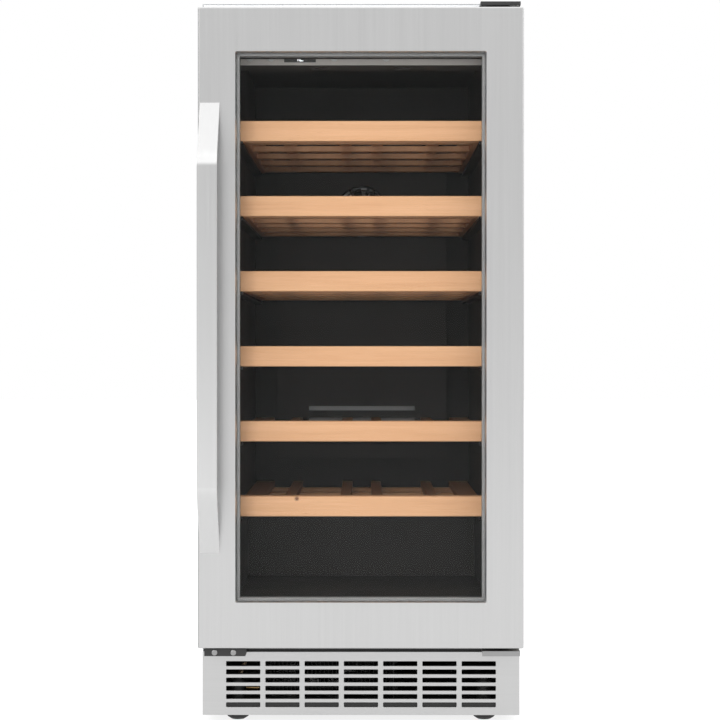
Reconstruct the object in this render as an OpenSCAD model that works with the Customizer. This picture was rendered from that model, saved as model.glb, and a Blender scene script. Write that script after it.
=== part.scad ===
// Undercounter wine cooler: one glass door hinged on the right, six slatted racks, front-vented machine bay.
// Millimetres, +Z up, the door faces -Y. The origin is on the floor, under the middle of the whole cooler.

/* [Cabinet] */
// Width across the side panels
cabinet_w = 377; // [314:1:455]
// Depth from the front flange to the back panel
cabinet_d = 522; // [480:1:630]
// Thickness of the outer sheet
sheet_t = 1.2; // [0.8:0.1:2]
// Thickness of the moulded liner
liner_t = 2; // [1.5:0.1:3]
// Foam in the side walls and the roof
wall_foam_t = 31.8; // [26:0.2:38]
// Foam behind the cavity
back_foam_t = 38; // [30:1:45]
// Foam under the cavity floor
floor_foam_t = 30; // [24:1:32]
// Height of the cavity floor above the ground
cavity_floor_z = 138; // [134:1:165]
// Height of the step over the machine bay, above the cavity floor
step_h = 94; // [85:1:98]
// Depth of the machine bay, from its front wall to the back panel
machine_bay_d = 175; // [160:1:200]

/* [Racks] */
// Height of the lowest rack's bar above the cavity floor
first_rack_h = 130; // [126:1:150]
// Rise from one rack to the next
rack_pitch = 90; // [86:1:110]
// Height of the cavity above the top rack's bar
top_space_h = 102; // [90:1:140]
// Height of a front bar
bar_h = 24.5; // [18:0.5:27]
// Thickness of a front bar
bar_t = 20; // [14:1:28]
// Thickness of the lower cross slats
cross_slat_t = 7; // [5:0.5:9]
// Thickness of the upper slats that bottles lie on
top_slat_t = 8; // [5:0.5:9]
// Width of a slat
slat_w = 14; // [8:1:18]
// Half of the distance between the two slats under a bottle
slat_half_gap = 20; // [18:1:24]
// Distance from a rack's side to the middle of its outer bottle
lane_edge = 39.5; // [38:0.5:44]

/* [Door] */
// How far the door overhangs each side panel
door_overhang = 1.5; // [0:0.5:3]
// Thickness of the door without its gasket
door_t = 40; // [36:1:46]
// Clear distance between the door and the cabinet's front flange
door_gap = 9; // [8:0.5:12]
// Height of the door's lower edge above the floor
door_bottom_z = 95; // [92:1:100]
// Drop of the door's top edge below the cabinet's top
door_top_drop = 12; // [11:0.5:16]
// Width of the side stiles
stile_w = 45; // [40:1:52]
// Height of the top rail
top_rail_h = 53; // [48:1:58]
// Height of the bottom rail
bottom_rail_h = 55; // [50:1:60]
// Thickness of the door's steel skin
skin_t = 1.5; // [1:0.1:2]
// Depth of the folded edge round the window
window_fold_d = 6; // [4:0.5:8]
// Width of the bevel round the window
window_bevel = 2.5; // [1:0.5:3]
// Thickness of each glass pane
glass_t = 4; // [3:0.5:5]
// Clear distance between the two panes
glass_gap = 12; // [8:1:14]
// How far the panes reach behind the window's edge
glass_rebate = 10; // [8:1:14]
// Width of the spacer between the panes
spacer_w = 13; // [11:0.5:15]
// Width of the magnetic gasket
gasket_w = 16; // [12:1:18]

/* [Handle] */
// Length of the handle
handle_len = 525; // [400:5:560]
// Width of the handle's bar
handle_w = 23; // [16:1:28]
// Thickness of the handle's bar
handle_t = 8; // [6:1:10]
// How far the handle stands out of the door
handle_reach = 45; // [38:1:55]
// Length of each sloped end
handle_slope = 70; // [50:1:80]
// Drop of the handle's top end below the door's top
handle_drop = 111.5; // [80:0.5:120]
// Distance from the door's edge to the middle of the handle
handle_inset = 14; // [13:0.5:22]

/* [Hinges] */
// Distance from the door's edge to the hinge pins
pin_inset = 12; // [11:0.5:15]
// Distance from the door's front to the hinge pins
pin_depth = 28; // [25:0.5:31]
// Radius of the hinge pins
pin_r = 4; // [3:0.25:5]
// Length of a pin inside the door
pin_engage = 18; // [12:1:20]
// Thickness of the hinge brackets
bracket_t = 3; // [2:0.5:3]
// Width of the hinge brackets
bracket_w = 44; // [38:1:50]

/* [Base] */
// Height of the grille's lower edge above the floor
grille_z = 9; // [8:1:12]
// Height of the toe grille
grille_h = 75.5; // [74:0.5:76]
// Thickness of the toe grille
grille_t = 4; // [2:0.5:5]
// Length of a grille slot
slot_l = 40.5; // [30:0.5:44]
// Height of a grille slot
slot_h = 5.5; // [4:0.5:7]
// Distance from one slot to the next along a row
slot_pitch_x = 46.7; // [46:0.1:50]
// Distance from one row of slots to the next
slot_pitch_z = 9.8; // [9:0.1:11]
// Radius of a foot's pad
foot_r = 14; // [11:1:18]
// Radius of a foot's stem
stem_r = 5; // [4:0.5:6]
// Travel of a foot as it is screwed out
foot_travel = 20; // [10:1:22]

/* [Hidden] */
$fn = 48;

// Clearances
run_gap = 0.05;     // radius, a pin turning or sliding in its bore
seat_gap = 0.3;     // between a loose piece and its seat
screw_gap = 0.2;    // radius, a screw through its hole
tube_gap = 0.3;     // radius, a tube through a wall
over = 1;           // how far a cutting shape runs past the face it cuts

// Screws
screw_r = 2;
screw_head_r = 3.4;
screw_head_h = 1.8;
screw_l = 8;

// Levels and planes of the cabinet
rack_count = 6;
door_w = cabinet_w + 2 * door_overhang;
overall_d = handle_reach + door_t + door_gap + cabinet_d + screw_head_h;
door_front_y = handle_reach - overall_d / 2;
door_back_y = door_front_y + door_t;
front_y = door_back_y + door_gap;
back_y = front_y + cabinet_d;
inside_w = cabinet_w - 2 * sheet_t;
cavity_w = inside_w - 2 * (wall_foam_t + liner_t);
cavity_back_y = back_y - sheet_t - back_foam_t - liner_t;
cavity_top_z = cavity_floor_z + first_rack_h + (rack_count - 1) * rack_pitch + top_space_h;
cabinet_h = cavity_top_z + liner_t + wall_foam_t + sheet_t;
deck_drop = liner_t + floor_foam_t;
step_y = back_y - machine_bay_d - sheet_t - deck_drop;
step_z = cavity_floor_z + step_h;
deck_under_z = cavity_floor_z - deck_drop - sheet_t;
bay_top_z = step_z - deck_drop - sheet_t;
bay_front_y = step_y + deck_drop + sheet_t;
wrap_bottom_z = 12;
pan_z = 20;
pan_t = 1.5;
pan_top_z = pan_z + pan_t;

// Door
door_top_z = cabinet_h - door_top_drop;
window_w = door_w - 2 * stile_w;
window_bottom_z = door_bottom_z + bottom_rail_h;
window_top_z = door_top_z - top_rail_h;
outer_pane_y = door_front_y + window_fold_d;
spacer_y = outer_pane_y + glass_t;
inner_pane_y = spacer_y + glass_gap;
lip_y = inner_pane_y + glass_t;
fold_t = 3;
lip_inset = 2;
gasket_inset = 4.5;
pin_x = door_w / 2 - pin_inset;
pin_y = door_front_y + pin_depth;
bush_r = 6;
bush_flange_r = 8;
bush_flange_t = 1.5;
bush_l = pin_engage + 4;

// Handle
handle_x = -door_w / 2 + handle_inset;
handle_top_z = door_top_z - handle_drop;
handle_end_h = handle_t / sin(atan2(handle_reach, handle_slope));
handle_screw_drop = 0.6 * handle_end_h;
handle_cover = 0.6;
handle_screw_l = min(4, (handle_screw_drop - screw_r) * handle_reach / handle_slope - handle_cover);

// Hinge hardware
bracket_left_x = pin_x + 8 - bracket_w;
bracket_right_x = pin_x + 8;
bracket_front = 10;
foot_plate_front = 24;
foot_plate_lip = 6;
bracket_screw_xs = [8, 26];
upper_plate_z = door_top_z + bush_flange_t + 3.5;
upper_flange_h = 7;
upper_screw_z = upper_plate_z - upper_flange_h / 2;
cap_wall = 1.2;
lower_plate_z = door_bottom_z - bush_flange_t - 2 - bracket_t;
lower_screw_z = (lower_plate_z + bracket_t + deck_under_z) / 2;
block_w = 48;
block_d = 45;
block_h = 8.5;
block_z = lower_plate_z - 3;
block_left_x = -door_w / 2 + 7;

// Racks and the things behind them
rack_w = cavity_w - 8;
bar_front_y = door_back_y + 25;
cover_d = 40;
cover_front_y = cavity_back_y - cover_d;
rack_back_y = cover_front_y - 8;
runner_w = 12;
rail_w = 12;
rail_t = 4;
rail_front_y = front_y + 12;
rack_step_in = 1;
function rack_top_z(i) = cavity_floor_z + first_rack_h + (i - 1) * rack_pitch;

// Control panel
panel_w = cavity_w - 7;
panel_front_y = front_y + 13;
panel_d = 48;
panel_h = 36;
panel_wall = 2;
panel_z = cavity_top_z - panel_h;
button_r = 4;
button_row_z = panel_z + panel_wall + 6.5;
button_travel = 1.2;
button_spots = [20.5, 45.5, 121.5, 183.5];
display_spot = 80.5;
display_w = 38;
display_h = 10;
board_gap = 10;
board_h = 28;

// Machine bay
fan_s = 76;
fan_d = 25;
fan_bore_r = 36;
fan_hub_r = 15;
fan_tip_r = 34.5;
fan_shaft_r = 2.5;
condenser_w = 160;
condenser_d = 30;
condenser_h = 68;
condenser_y = front_y + 40;
fan_x = -40;
fan_z = pan_top_z + fan_s / 2;
condenser_fan_y = condenser_y + condenser_d + 2;
compressor_x = 45;
compressor_y = back_y - 92;
can_r = 62;
mount_plate_z = pan_top_z + 14.5;
mount_plate_t = 3;
can_top_z = bay_top_z - 20;
mount_hole_x = 64;
mount_hole_y = 46;
mount_hole_r = 8;
tube_r = 3;
drier_r = 9;
drier_l = 90;
drier_neck = 8;
drier_y = bay_front_y + 25;
drier_z = pan_top_z + 38;
foot_inset = 40.5;
foot_setback = 25;
boss_r = 9;
boss_h = 25;

// Cavity back
evap_cover_w = 240;
evap_cover_z = step_z + 58;
evap_cover_top_z = cavity_top_z - 60;
evap_wall = 2;
evap_margin_x = 22;
evap_margin_z = 40;
evap_plate_t = 3;
evap_pass_r = 2.5;
evap_pass_pitch = 40;
evap_fan_z = evap_cover_top_z - 120;
evap_fan_y = cover_front_y + evap_wall;
inlet_x = -140;
inlet_z = pan_top_z + 40;
inlet_r = 9;

// ---- Shared shapes ----

module block(lo, hi) { translate(lo) cube(hi - lo); }

// A box centred on the middle plane
module centred(w, y0, y1, z0, z1) { block([-w / 2, y0, z0], [w / 2, y1, z1]); }

// A profile of [y, z] points, extruded across the width w
module across(w, points) {
    translate([-w / 2, 0, 0]) rotate([90, 0, 90]) linear_extrude(w) polygon(points);
}

// A rod along Y, from y0 to y1
module rod_y(r, x, z, y0, y1) { translate([x, y0, z]) rotate([-90, 0, 0]) cylinder(r = r, h = y1 - y0); }

// A rod along Z, from z0 to z1
module rod_z(r, x, y, z0, z1) { translate([x, y, z0]) cylinder(r = r, h = z1 - z0); }

// The cavity's outline, grown outwards by o at the floor, step and top and by b at the back
function cavity_profile(o, b, top) = [
    [front_y, cavity_floor_z - o], [step_y + o, cavity_floor_z - o], [step_y + o, step_z - o],
    [cavity_back_y + b, step_z - o], [cavity_back_y + b, cavity_top_z + top], [front_y, cavity_top_z + top]];

// Pan-head screw along +Z with its head's seat at z = 0, the head above
module screw(len) {
    translate([0, 0, -len]) cylinder(r = screw_r, h = len);
    rotate_extrude() polygon([[0, 0], [screw_head_r, 0], [screw_head_r, screw_head_h * 0.6],
                              [screw_head_r * 0.7, screw_head_h], [0, screw_head_h]]);
}

module at_hinge_screws(z) {
    for (x = bracket_screw_xs)
        translate([bracket_left_x + x, front_y - bracket_t, z]) rotate([90, 0, 0]) children();
}

// Hole for a screw that is len long, from its head's seat down
module screw_hole(len) {
    translate([0, 0, -len - over]) cylinder(r = screw_r + screw_gap, h = len + 2 * over);
}

module at_block_screws() {
    for (x = [block_left_x + 12, block_left_x + 34])
        translate([x, front_y - block_d, block_z + block_h / 2]) rotate([90, 0, 0]) children();
}

module at_rear_screws() {
    for (x = [-1, 1], z = [pan_top_z + 10, bay_top_z - 12])
        translate([x * (inside_w / 2 - 10), back_y, z]) rotate([-90, 0, 0]) children();
}

// Straight runs of tube through a list of points, with round corners
module tube_run(points, r) {
    for (i = [0:len(points) - 2]) {
        run = points[i + 1] - points[i];
        flat = norm([run.x, run.y]);
        translate(points[i]) rotate([0, atan2(flat, run.z), atan2(run.y, run.x)])
            cylinder(r = r, h = norm(run));
    }
    for (i = [1:1:len(points) - 2]) translate(points[i]) sphere(r = r);
}

// Square frame of an axial fan with its shaft, blowing along Y
module fan_frame(x, z, y) {
    strut_t = 3;
    strut_w = 4;
    hub_t = 5;
    difference() {
        block([x - fan_s / 2, y, z - fan_s / 2], [x + fan_s / 2, y + fan_d, z + fan_s / 2]);
        rod_y(fan_bore_r, x, z, y - over, y + fan_d + over);
    }
    rod_y(fan_hub_r, x, z, y + fan_d - hub_t, y + fan_d);
    rod_y(fan_shaft_r, x, z, y + 3, y + fan_d - hub_t / 2);
    for (a = [45:120:359])
        translate([x, y + fan_d - over - strut_t, z]) rotate([0, a, 0])
            translate([fan_hub_r / 2, 0, -strut_w / 2])
                cube([fan_bore_r + over - fan_hub_r / 2, strut_t, strut_w]);
}

// Seven-bladed rotor turning on that shaft
module fan_rotor(x, z, y) {
    hub_l = 14;
    blade_t = 1.6;
    blade_chord = 15;
    blade_tilt = 38;
    hub_y = y + 4;
    difference() {
        union() {
            rod_y(fan_hub_r, x, z, hub_y, hub_y + hub_l);
            for (a = [0:360 / 7:359])
                translate([x, hub_y + hub_l / 2, z]) rotate([0, a, 0]) rotate([blade_tilt, 0, 0])
                    translate([fan_hub_r - 2, -blade_t / 2, -blade_chord / 2])
                        cube([fan_tip_r - fan_hub_r + 1, blade_t, blade_chord]);
        }
        rod_y(fan_shaft_r + run_gap, x, z, hub_y - over, hub_y + hub_l + over);
    }
}

// ---- Cabinet ----

module cabinet_wrap() {
    color("gainsboro") difference() {
        centred(cabinet_w, front_y, back_y, wrap_bottom_z, cabinet_h);
        centred(inside_w, front_y - over, back_y + over, wrap_bottom_z - over, cabinet_h - sheet_t);
    }
}

module back_panel() {
    color("silver") centred(inside_w, back_y - sheet_t, back_y, bay_top_z, cabinet_h - sheet_t);
}

module foam_insulation() {
    color("khaki") difference() {
        across(inside_w, cavity_profile(deck_drop, liner_t + back_foam_t, liner_t + wall_foam_t));
        across(cavity_w + 2 * liner_t, cavity_profile(liner_t, liner_t, liner_t));
        centred(inside_w + over, front_y - over, front_y + liner_t, 0, cabinet_h + over);
        at_hinge_screws(upper_screw_z) screw_hole(screw_l);
        line_channels(tube_r + tube_gap);
    }
}

module inner_liner() {
    flange_z = cavity_floor_z - deck_drop;
    color([0.16, 0.15, 0.15]) difference() {
        union() {
            across(cavity_w + 2 * liner_t, cavity_profile(liner_t, liner_t, liner_t));
            centred(inside_w, front_y, front_y + liner_t, flange_z, cabinet_h - sheet_t);
        }
        across(cavity_w, [for (p = cavity_profile(0, 0, 0)) [p.x == front_y ? p.x - over : p.x, p.y]]);
        at_hinge_screws(upper_screw_z) screw_hole(screw_l);
        line_channels(tube_r + tube_gap);
    }
}

module machine_deck() {
    o = deck_drop;
    color("lightgrey") difference() {
        across(inside_w, [
            [front_y, cavity_floor_z - o], [step_y + o, cavity_floor_z - o], [step_y + o, step_z - o],
            [back_y - sheet_t, step_z - o], [back_y - sheet_t, step_z - o - sheet_t],
            [step_y + o + sheet_t, step_z - o - sheet_t], [step_y + o + sheet_t, deck_under_z],
            [front_y, deck_under_z]]);
        line_channels(tube_r + tube_gap);
        condenser_lines(tube_r + tube_gap);
    }
}

module at_feet() {
    for (x = [-1, 1], y = [front_y + foot_setback, back_y - foot_setback])
        translate([x * (cabinet_w / 2 - foot_inset), y, 0]) children();
}

module base_pan() {
    vent_side = 20;
    skirt_lift = 2;
    vent_low = 6;
    vent_top_z = lower_plate_z - 5;
    color("darkgrey") difference() {
        union() {
            centred(inside_w, front_y, back_y, pan_z, pan_top_z);
            centred(inside_w, front_y, front_y + pan_t, grille_z + skirt_lift, deck_under_z);
            at_feet() translate([0, 0, pan_top_z]) cylinder(r = boss_r, h = boss_h);
        }
        centred(inside_w - 2 * vent_side, front_y - over, front_y + pan_t + over,
                pan_top_z + vent_low, vent_top_z);
        at_feet() translate([0, 0, pan_z - over])
            cylinder(r = stem_r + run_gap, h = boss_h + pan_t + 2 * over);
        at_hinge_screws(lower_screw_z) screw_hole(screw_l);
        at_block_screws() screw_hole(block_d + pan_t);
    }
}

module toe_grille() {
    margin_x = 28;
    columns = floor((cabinet_w - 2 * margin_x - slot_l) / slot_pitch_x) + 1;
    rows = 6;
    first_row_z = grille_z + 9.5 + slot_h / 2;
    color("silver") difference() {
        centred(cabinet_w, front_y - grille_t, front_y, grille_z, grille_z + grille_h);
        for (c = [0:columns - 1], r = [0:rows - 1])
            translate([(c - (columns - 1) / 2) * slot_pitch_x - slot_l / 2, front_y - grille_t - over,
                       first_row_z + r * slot_pitch_z - slot_h / 2])
                cube([slot_l, grille_t + 2 * over, slot_h]);
    }
}

module rear_grille() {
    louvre_l = 60;
    louvre_h = 5;
    louvre_pitch = 14;
    first_louvre_z = pan_top_z + 62;
    louvre_rows = floor((bay_top_z - 20 - first_louvre_z) / louvre_pitch);
    color("grey") difference() {
        centred(inside_w, back_y - sheet_t, back_y, pan_top_z, bay_top_z - seat_gap);
        for (x = [-100, -30, 40], r = [0:louvre_rows - 1])
            translate([x, back_y - sheet_t - over, first_louvre_z + r * louvre_pitch])
                cube([louvre_l, sheet_t + 2 * over, louvre_h]);
        rod_y(inlet_r, inlet_x, inlet_z, back_y - sheet_t - over, back_y + over);
        at_rear_screws() screw_hole(screw_l);
    }
}

// ---- Hinges and stops ----

// An angle with a plate under or over the door, a flange on the cabinet's front and a pin
module hinge_bracket(plate_z, flange_z0, flange_z1, screw_z, pin_z0, pin_z1) {
    color("dimgrey") {
        difference() {
            union() {
                block([bracket_left_x, pin_y - bracket_front, plate_z],
                      [bracket_right_x, front_y, plate_z + bracket_t]);
                block([bracket_left_x, front_y - bracket_t, flange_z0],
                      [bracket_right_x, front_y, flange_z1]);
            }
            at_hinge_screws(screw_z) screw_hole(screw_l);
        }
        rod_z(pin_r, pin_x, pin_y, pin_z0, pin_z1);
    }
}

module top_hinge_bracket() {
    hinge_bracket(upper_plate_z, upper_plate_z - upper_flange_h, upper_plate_z + bracket_t, upper_screw_z,
                  door_top_z - pin_engage, upper_plate_z + bracket_t);
}

// The same angle, with its plate drawn forward under the door and folded down
module bottom_hinge_bracket() {
    lip_y = pin_y - foot_plate_front;
    plate_top = lower_plate_z + bracket_t;
    hinge_bracket(lower_plate_z, lower_plate_z, deck_under_z, lower_screw_z,
                  lower_plate_z, door_bottom_z + pin_engage);
    color("dimgrey") {
        block([bracket_left_x, lip_y, lower_plate_z], [bracket_right_x, pin_y, plate_top]);
        block([bracket_left_x, lip_y, plate_top - foot_plate_lip],
              [bracket_right_x, lip_y + bracket_t, plate_top]);
    }
}

// Thin cap over the upper bracket's plate
module top_hinge_cover() {
    side = seat_gap + cap_wall;
    lo = [bracket_left_x - side, pin_y - bracket_front - side, upper_plate_z - seat_gap];
    hi = [bracket_right_x + side, front_y - bracket_t, upper_plate_z + bracket_t + cap_wall];
    color([0.08, 0.08, 0.08]) difference() {
        block(lo, hi);
        block(lo + [cap_wall, cap_wall, -over], [hi.x - cap_wall, hi.y + over, upper_plate_z + bracket_t]);
    }
}

module door_stop_block() {
    color([0.07, 0.07, 0.07]) difference() {
        block([block_left_x, front_y - block_d, block_z],
              [block_left_x + block_w, front_y, block_z + block_h]);
        at_block_screws() screw_hole(block_d);
    }
}

module cabinet_screws() {
    color("lightgrey") {
        at_hinge_screws(upper_screw_z) screw(screw_l);
        at_hinge_screws(lower_screw_z) screw(screw_l);
        at_block_screws() screw(block_d + pan_t);
        at_rear_screws() screw(screw_l);
    }
}

// ---- Cooling ----

module at_mounts() {
    for (x = [-1, 1], y = [-1, 1])
        translate([compressor_x + x * mount_hole_x, compressor_y + y * mount_hole_y, 0]) children();
}

module compressor() {
    shoulder = 16;
    cap_r = 22;
    plate_edge = 14;
    can_z = mount_plate_z + mount_plate_t;
    mid_z = (can_z + can_top_z) / 2;
    color([0.1, 0.1, 0.11]) difference() {
        union() {
            translate([compressor_x, compressor_y, 0]) rotate_extrude($fn = 64) polygon([
                [0, can_z - mount_plate_t], [can_r - shoulder, can_z - mount_plate_t],
                [can_r - 3, can_z + shoulder],
                [can_r - 3, mid_z - 3], [can_r, mid_z - 3], [can_r, mid_z + 3], [can_r - 3, mid_z + 3],
                [can_r - 3, can_top_z - shoulder * 2], [can_r - shoulder, can_top_z - shoulder / 2],
                [cap_r, can_top_z], [0, can_top_z]]);
            translate([compressor_x, compressor_y, 0])
                block([-mount_hole_x - plate_edge, -mount_hole_y - plate_edge, mount_plate_z],
                      [mount_hole_x + plate_edge, mount_hole_y + plate_edge, mount_plate_z + mount_plate_t]);
        }
        at_mounts() translate([0, 0, mount_plate_z - over])
            cylinder(r = mount_hole_r, h = mount_plate_t + 2 * over);
    }
}

module compressor_grommets() {
    lower_r = 11;
    upper_h = 4;
    z0 = pan_top_z;
    z1 = mount_plate_z;
    z2 = mount_plate_z + mount_plate_t;
    neck_r = mount_hole_r - 0.1;
    color([0.15, 0.15, 0.15]) at_mounts() rotate_extrude() polygon([
        [0, z0], [lower_r, z0], [lower_r, z1], [neck_r, z1], [neck_r, z2], [lower_r - 1, z2],
        [lower_r - 1, z2 + upper_h], [0, z2 + upper_h]]);
}

module condenser_coil() {
    fin_t = 0.6;
    fin_pitch = 5;
    plate_t = 1.5;
    x0 = fan_x - condenser_w / 2;
    x1 = fan_x + condenser_w / 2;
    rows = 4;
    row_pitch = 16;
    color("silver") {
        for (x = [x0, x1 - plate_t])
            block([x, condenser_y, pan_top_z],
                  [x + plate_t, condenser_y + condenser_d, pan_top_z + condenser_h]);
        for (x = [x0 + fin_pitch:fin_pitch:x1 - fin_pitch])
            block([x, condenser_y + 1, pan_top_z + 3],
                  [x + fin_t, condenser_y + condenser_d - 1, pan_top_z + condenser_h - 3]);
        for (r = [0:rows - 1])
            translate([x0 - 4, condenser_y + condenser_d / 2, pan_top_z + 10 + r * row_pitch])
                rotate([0, 90, 0]) cylinder(r = tube_r, h = condenser_w + 8);
    }
}

module condenser_fan_frame() { color([0.1, 0.1, 0.1]) fan_frame(fan_x, fan_z, condenser_fan_y); }
module condenser_fan_rotor() { color([0.2, 0.2, 0.2]) fan_rotor(fan_x, fan_z, condenser_fan_y); }

coil_side_x = fan_x - condenser_w / 2 - 4;
drier_x0 = coil_side_x - 12;
inlet_run_x = drier_x0 - 18;
outlet_run_x = drier_x0 + drier_l + 18;
coil_end_x = fan_x + condenser_w / 2 + 4;
coil_mid_y = condenser_y + condenser_d / 2;
coil_low_z = pan_top_z + 10;
coil_high_z = pan_top_z + 58;
evap_plate_y = cavity_back_y - evap_plate_t;
evap_low_z = evap_cover_z + evap_margin_z;
suction_x = compressor_x - 30;
suction_y = cavity_back_y + liner_t + back_foam_t / 2;

// From the compressor's side to the top of the condenser, then from its bottom to the drier
module condenser_lines(r) {
    high_z = mount_plate_z + 45;
    side_x = coil_end_x + 20;
    out_x = compressor_x + 20;
    turn_y = bay_front_y + 8;
    tube_run([[out_x, compressor_y - can_r + 8, high_z], [out_x, turn_y, high_z],
              [out_x, turn_y, coil_high_z], [side_x, turn_y, coil_high_z],
              [side_x, coil_mid_y, coil_high_z], [coil_end_x, coil_mid_y, coil_high_z]], r);
    tube_run([[coil_side_x, coil_mid_y, coil_low_z], [inlet_run_x, coil_mid_y, coil_low_z],
              [inlet_run_x, drier_y, coil_low_z], [inlet_run_x, drier_y, drier_z],
              [drier_x0 - drier_neck, drier_y, drier_z]], r);
}

// From the evaporator down through the foam to the compressor
evap_port_z = evap_low_z + 12;
suction_port_z = can_top_z - 42;
suction_points = [
    [suction_x, evap_plate_y + evap_plate_t, evap_port_z], [suction_x, suction_y, evap_port_z],
    [suction_x, suction_y, suction_port_z], [suction_x, compressor_y + can_r - 20, suction_port_z]];

// From the drier up through the deck and the foam to the evaporator
liquid_turn_z = bay_top_z - 10;
liquid_points = [
    [drier_x0 + drier_l + drier_neck, drier_y, drier_z], [outlet_run_x, drier_y, drier_z],
    [outlet_run_x, drier_y, liquid_turn_z], [outlet_run_x, suction_y, liquid_turn_z],
    [outlet_run_x, suction_y, evap_port_z], [outlet_run_x, cavity_back_y, evap_port_z]];

// Square channels round the two lines, with the sides r from a line's middle
module line_channels(r) {
    for (points = [suction_points, liquid_points], i = [0:len(points) - 2]) {
        a = points[i];
        b = points[i + 1];
        block([min(a.x, b.x) - r, min(a.y, b.y) - r, min(a.z, b.z) - r],
              [max(a.x, b.x) + r, max(a.y, b.y) + r, max(a.z, b.z) + r]);
    }
}

module refrigerant_tubes() {
    color([0.72, 0.45, 0.3]) difference() {
        union() {
            condenser_lines(tube_r);
            tube_run(suction_points, tube_r);
            tube_run(liquid_points, tube_r);
        }
        compressor();
    }
}

module filter_drier() {
    color([0.75, 0.5, 0.35]) translate([drier_x0, drier_y, drier_z]) rotate([0, 90, 0])
        rotate_extrude() polygon([
            [0, -drier_neck], [tube_r + 1, -drier_neck], [drier_r, 4], [drier_r, drier_l - 4],
            [tube_r + 1, drier_l + drier_neck], [0, drier_l + drier_neck]]);
}

module evaporator_plate() {
    w = evap_cover_w - 2 * evap_margin_x;
    top_z = evap_cover_top_z - evap_margin_z;
    passes = floor((top_z - evap_low_z - 30) / evap_pass_pitch);
    color("silver") {
        centred(w, evap_plate_y, cavity_back_y, evap_low_z, top_z);
        for (i = [0:passes])
            translate([-w / 2 + 12, evap_plate_y, evap_low_z + 20 + i * evap_pass_pitch]) rotate([0, 90, 0])
                cylinder(r = evap_pass_r, h = w - 24);
    }
}

// The open stretches between the rings and spokes of the fan's guard
module fan_guard_cut() {
    ring_gap = 8;
    ring_w = 2.4;
    y0 = cover_front_y - over;
    y1 = cover_front_y + evap_wall + over;
    difference() {
        rod_y(fan_bore_r, 0, evap_fan_z, y0, y1);
        for (r = [fan_hub_r:ring_gap:fan_bore_r - 3]) difference() {
            rod_y(r, 0, evap_fan_z, y0 - over, y1 + over);
            rod_y(r - ring_w, 0, evap_fan_z, y0 - 2 * over, y1 + 2 * over);
        }
        for (a = [0:60:120]) translate([0, y0 - over, evap_fan_z]) rotate([0, a, 0])
            translate([-fan_bore_r - over, 0, -ring_w / 2])
                cube([2 * (fan_bore_r + over), y1 - y0 + 2 * over, ring_w]);
    }
}

module evaporator_cover() {
    vent_w = 150;
    vent_h = 6;
    color([0.2, 0.2, 0.2]) {
        difference() {
            centred(evap_cover_w, cover_front_y, cavity_back_y, evap_cover_z, evap_cover_top_z);
            centred(evap_cover_w - 2 * evap_wall, cover_front_y + evap_wall, cavity_back_y + over,
                    evap_cover_z + evap_wall, evap_cover_top_z - evap_wall);
            fan_guard_cut();
            for (z = [evap_cover_z + 20:16:evap_cover_z + 70])
                centred(vent_w, cover_front_y - over, cover_front_y + evap_wall + over, z, z + vent_h);
        }
    }
}

module evaporator_fan_frame() { color([0.12, 0.12, 0.12]) fan_frame(0, evap_fan_z, evap_fan_y); }
module evaporator_fan_rotor() { color([0.25, 0.25, 0.25]) fan_rotor(0, evap_fan_z, evap_fan_y); }

module drip_tray() {
    w = 120;
    d = 86;
    h = 14;
    wall = 1.5;
    lo = [compressor_x - w / 2, compressor_y - d / 2, can_top_z];
    color("whitesmoke") difference() {
        block(lo, lo + [w, d, h]);
        block(lo + [wall, wall, wall], lo + [w - wall, d - wall, h + over]);
    }
}

module mains_inlet() {
    cord_r = 4.5;
    flange_r = 13;
    color([0.05, 0.05, 0.05]) difference() {
        union() {
            rod_y(inlet_r, inlet_x, inlet_z, back_y - sheet_t, back_y);
            rod_y(flange_r, inlet_x, inlet_z, back_y - sheet_t - 4, back_y - sheet_t);
            rod_y(inlet_r, inlet_x, inlet_z, back_y - sheet_t - 18, back_y - sheet_t - 4);
        }
        rod_y(cord_r, inlet_x, inlet_z, back_y - 30, back_y + over);
    }
}

// ---- Controls ----

function spot_x(s) = -cavity_w / 2 + s;

module display_cut(y0, y1) {
    block([spot_x(display_spot) - display_w / 2, y0, button_row_z - display_h / 2],
          [spot_x(display_spot) + display_w / 2, y1, button_row_z + display_h / 2]);
}

module control_panel() {
    post_r = 3;
    vent_y = panel_front_y + panel_d / 2;
    color([0.45, 0.44, 0.43]) {
        difference() {
            centred(panel_w, panel_front_y, panel_front_y + panel_d, panel_z, cavity_top_z);
            centred(panel_w - 2 * panel_wall, panel_front_y + panel_wall,
                    panel_front_y + panel_d - panel_wall, panel_z + panel_wall, cavity_top_z + over);
            for (s = button_spots)
                rod_y(button_r + seat_gap, spot_x(s), button_row_z, panel_front_y - over,
                      panel_front_y + panel_wall + over);
            display_cut(panel_front_y - over, panel_front_y + panel_wall + over);
            for (x = [-60, 40]) translate([x, vent_y, panel_z - over]) cube([20, 8, panel_wall + 2 * over]);
        }
        for (x = [spot_x(display_spot + 30), spot_x(button_spots[3] - 20)])
            rod_y(post_r, x, panel_z + panel_h - 10, panel_front_y + panel_wall,
                  panel_front_y + panel_wall + board_gap);
    }
}

module display_window() {
    color([0.03, 0.03, 0.03]) display_cut(panel_front_y, panel_front_y + panel_wall);
}

module control_board() {
    board_t = 1.6;
    y = panel_front_y + panel_wall + board_gap;
    x0 = spot_x(button_spots[0] - 10);
    x1 = spot_x(button_spots[3] + 14);
    color([0.1, 0.35, 0.18]) {
        block([x0, y, panel_z + panel_wall + seat_gap], [x1, y + board_t, panel_z + panel_wall + board_h]);
        for (x = [x0 + 30:40:x1 - 20])
            block([x, y + board_t, panel_z + 12], [x + 14, y + board_t + 4, panel_z + 24]);
    }
}

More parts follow.
